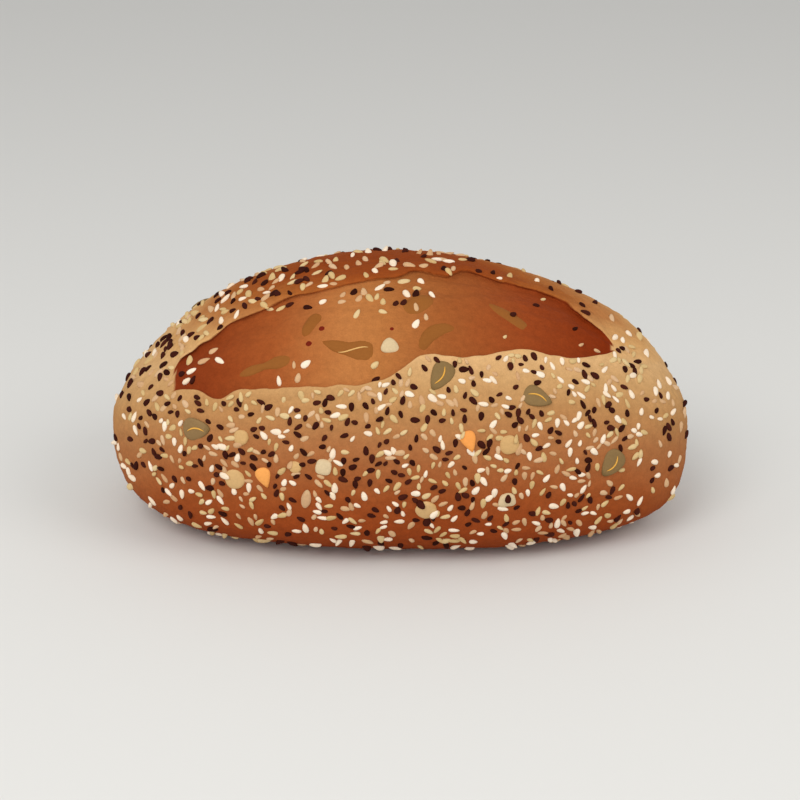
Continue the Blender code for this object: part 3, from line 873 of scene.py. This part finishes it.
def crustMaterial():
    # wheat crust: dull, blistered and freckled, with drawn strands where the cut tore open
    finish = crustFinish
    material, tree, shader = newMaterial("BakedWheatCrust")
    place = addNode(tree, "TexCoord").outputs["Object"]
    height = addNode(tree, "Attribute", {"attribute_name": "bakeHeight"}).outputs["Fac"]
    bare = addNode(tree, "Attribute", {"attribute_name": "bareness"}).outputs["Fac"]
    drawnOut = (finish["strand"] / finish["strandLength"], 1, 1)
    drawn = addNode(tree, "Mapping", inputs={"Vector": place, "Scale": drawnOut}).outputs["Vector"]
    pattern = {}
    for name, vector, detail in (("mottle", place, 4), ("freckle", place, 2), ("grain", place, 2),
                                 ("blister", place, 3), ("strand", drawn, 3)):
        pattern[name] = addNode(tree, "TexNoise", inputs={
            "Vector": vector, "Scale": 1 / (finish[name] * mm), "Detail": detail,
            "Roughness": finish["patternRoughness"]}).outputs["Fac"]
    shift = addNode(tree, "Math", {"operation": "MULTIPLY_ADD"}, {
        0: pattern["mottle"], 1: finish["mottleAmount"], 2: -finish["mottleAmount"] / 2}).outputs[0]
    level = addNode(tree, "Math", {"operation": "ADD"}, {0: height, 1: shift})
    bake = addNode(tree, "ValToRGB", inputs={"Fac": level.outputs[0]},
                   stops=[(s, linearColor(c)) for s, c in finish["bake"]])
    along = addNode(tree, "SeparateXYZ", inputs={"Vector": place})
    low, high = finish["bloom"][0][0], finish["bloom"][-1][0]
    share = addNode(tree, "MapRange", inputs={
        "Value": along.outputs["X"], "From Min": low * mm, "From Max": high * mm})
    bloomLevel = addNode(tree, "Math", {"operation": "ADD"}, {0: share.outputs[0], 1: shift})
    bloom = addNode(tree, "ValToRGB", inputs={"Fac": bloomLevel.outputs[0]},
                    stops=[((x - low) / (high - low), linearColor(c)) for x, c in finish["bloom"]])
    colour = addNode(tree, "Mix", {"data_type": "RGBA"}, {
        "Factor": bare, 6: bake.outputs["Color"], 7: bloom.outputs["Color"]}).outputs[2]
    darkest, lightest = finish["patternRange"]
    for name, where in (("freckle", 1.0), ("grain", 1.0), ("strand", bare)):
        amount = finish[name + "Amount"]
        lighter = addNode(tree, "MapRange", inputs={
            "Value": pattern[name], "From Min": darkest, "From Max": lightest,
            "To Min": 1 - amount, "To Max": 1 + amount})
        colour = addNode(tree, "Mix", {"data_type": "RGBA", "blend_type": "MULTIPLY"}, {
            "Factor": where, 6: colour, 7: lighter.outputs[0]}).outputs[2]
    tree.links.new(colour, shader.inputs["Base Color"])
    rough = addNode(tree, "Mix", {"data_type": "FLOAT"}, {
        "Factor": bare, 2: finish["roughness"], 3: finish["bareRoughness"]})
    tree.links.new(rough.outputs[0], shader.inputs["Roughness"])
    blister = addNode(tree, "Bump", inputs={
        "Strength": finish["blisterStrength"], "Distance": finish["blisterDepth"] * mm,
        "Height": pattern["blister"]})
    torn = addNode(tree, "Bump", inputs={
        "Strength": bare, "Distance": finish["strandDepth"] * mm, "Height": pattern["strand"],
        "Normal": blister.outputs["Normal"]})
    fine = addNode(tree, "Bump", inputs={
        "Strength": finish["grainStrength"], "Distance": finish["grainDepth"] * mm,
        "Height": pattern["grain"], "Normal": torn.outputs["Normal"]})
    tree.links.new(fine.outputs["Normal"], shader.inputs["Normal"])
    shader.inputs["Specular IOR Level"].default_value = finish["shine"]
    return material


seedFinishes = {
    # three colours from seed to seed, the tip's colour, how rough the hull is and how it shines
    "DarkLinseed": ("2C0C04", "37120A", "431A0F", "220703", 0.7, 0.06),
    "WhiteSesame": ("E5D0B5", "ECDBC4", "EAD5BA", "D5B28A", 0.8, 0.06),
    "TanSesame": ("C3A36F", "CCAE7A", "D3B98A", "B58D54", 0.8, 0.06),
    "GlazedSesame": ("C2976D", "C9A278", "CFAC87", "B18457", 0.7, 0.08),
    "RedMillet": ("6A1A08", "701C0A", "761E0C", "6A1A08", 0.7, 0.08),
    "PumpkinSeeds": ("7E643D", "836842", "886C46", "6F5732", 0.7, 0.1),
    "BakedPumpkinSeeds": ("8C5322", "8A5424", "905826", "8C5020", 0.7, 0.06),
    "SeedRidges": ("DCA346", "E0A84C", "D8AA68", "D49A42", 0.7, 0.08),
    "OrangeKernels": ("E3954B", "E79D53", "E59A4F", "D6863A", 0.7, 0.1),
    "CreamKernels": ("C09A73", "CAB28B", "CEB792", "C4A980", 0.75, 0.08),
    "TanGrits": ("C39C67", "C7A06B", "CAA572", "BC945D", 0.8, 0.06),
}

hull = {
    "tipFrom": 0.78, "tipAmount": 0.7,  # where along the seed its tip's colour starts, and how much it shows
    "speck": 0.9, "speckAmount": 0.12,  # size of the specks in millimetres, and how strongly they show
    "bumpStrength": 0.3, "bumpDepth": 0.12,
}


def seedMaterial(kind):
    # a dry seed hull: matt, its tone changing from seed to seed and darker at its tip
    *tones, tip, roughness, shine = seedFinishes[kind]
    material, tree, shader = newMaterial(kind + "Hull")
    place = addNode(tree, "TexCoord").outputs["Object"]
    tone = addNode(tree, "Attribute", {"attribute_name": "seedTone"}).outputs["Fac"]
    along = addNode(tree, "Attribute", {"attribute_name": "seedAlong"}).outputs["Fac"]
    body = addNode(tree, "ValToRGB", inputs={"Fac": tone},
                   stops=[(s, linearColor(c)) for s, c in zip((0, 0.5, 1), tones)])
    tipShare = addNode(tree, "MapRange", {"interpolation_type": "SMOOTHSTEP"}, {
        "Value": along, "From Min": hull["tipFrom"], "From Max": 1.0, "To Max": hull["tipAmount"]})
    colour = addNode(tree, "Mix", {"data_type": "RGBA"}, {
        "Factor": tipShare.outputs[0], 6: body.outputs["Color"], 7: linearColor(tip)})
    speck = addNode(tree, "TexNoise", inputs={
        "Vector": place, "Scale": 1 / (hull["speck"] * mm), "Detail": 3})
    lighter = addNode(tree, "MapRange", inputs={
        "Value": speck.outputs["Fac"], "To Min": 1 - hull["speckAmount"], "To Max": 1 + hull["speckAmount"]})
    specked = addNode(tree, "Mix", {"data_type": "RGBA", "blend_type": "MULTIPLY"}, {
        "Factor": 1.0, 6: colour.outputs[2], 7: lighter.outputs[0]})
    tree.links.new(specked.outputs[2], shader.inputs["Base Color"])
    bump = addNode(tree, "Bump", inputs={
        "Strength": hull["bumpStrength"], "Distance": hull["bumpDepth"] * mm, "Height": speck.outputs["Fac"]})
    tree.links.new(bump.outputs["Normal"], shader.inputs["Normal"])
    shader.inputs["Roughness"].default_value = roughness
    shader.inputs["Specular IOR Level"].default_value = shine
    return material


# floor and light
studio = {
    "floorColor": "D9D8D4", "floorSize": 6.0, "floorRoughness": 0.9,
    "worldColor": "FFFFFF", "worldStrength": 0.62,
    "lightsAim": (0, 0, 0.05),
    # soft lights: place, size and watts
    "lights": (((-0.55, -0.95, 1.15), 0.9, 9.0), ((0.9, -0.5, 0.9), 0.8, 4.5), ((0.0, -1.3, 0.3), 1.0, 2.9),
               ((-1.1, -0.3, 0.5), 0.8, 1.5)),
}


def makeStudio():
    deselectAll()
    bpy.ops.mesh.primitive_plane_add(size=studio["floorSize"])
    floor = bpy.context.active_object
    floor.name = "StudioFloor"
    material, tree, shader = newMaterial("PaleFloor")
    shader.inputs["Base Color"].default_value = linearColor(studio["floorColor"])
    shader.inputs["Roughness"].default_value = studio["floorRoughness"]
    floor.data.materials.append(material)
    world = bpy.data.worlds.new("SoftRoom")
    bpy.context.scene.world = world
    world.use_nodes = True
    background = world.node_tree.nodes["Background"]
    background.inputs["Color"].default_value = linearColor(studio["worldColor"])
    background.inputs["Strength"].default_value = studio["worldStrength"]
    for place, size, watts in studio["lights"]:
        bpy.ops.object.light_add(type="AREA", location=place)
        light = bpy.context.active_object
        light.data.shape = "DISK"
        light.data.size = size
        light.data.energy = watts
        way = Vector(studio["lightsAim"]) - Vector(place)
        light.rotation_euler = way.to_track_quat("-Z", "Y").to_euler()
    bpy.context.scene.view_settings.view_transform = "Standard"


camera = makeCamera()
makeStudio()
print("studio and camera ready")

crust = makeCrust()
crust.data.materials.append(crustMaterial())
crustTree = treeOf([crust])
print("crust baked:", len(crust.data.polygons), "faces")

largeCopies = placeLargeSeeds(crustTree)
pieces = [crust]
for kind, copies in largeCopies.items():
    pieces.append(joinedCopies(kind, copies, seedMaterial(kind)))
pieces.append(joinedCopies("SeedRidges", ridgeCopies(largeCopies), seedMaterial("SeedRidges")))
print("large seeds set:", sum(len(copies) for copies in largeCopies.values()))

places, count = scatterSeeds(crust, crustTree, largeCopies)
coveredTree = treeOf(pieces)
seedsByPixel(cutSeeds, camera, coveredTree, places)
seedsByPixel(onLargeSeeds, camera, coveredTree, places)
for kind in seedKinds:
    shape = modelSeed(kind)
    pieces.append(joinedCopies(kind, [(shape, place) for place in places[kind]], seedMaterial(kind)))
print("small seeds scattered:", count)

for piece in pieces:
    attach(piece, "root")
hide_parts("loaf")
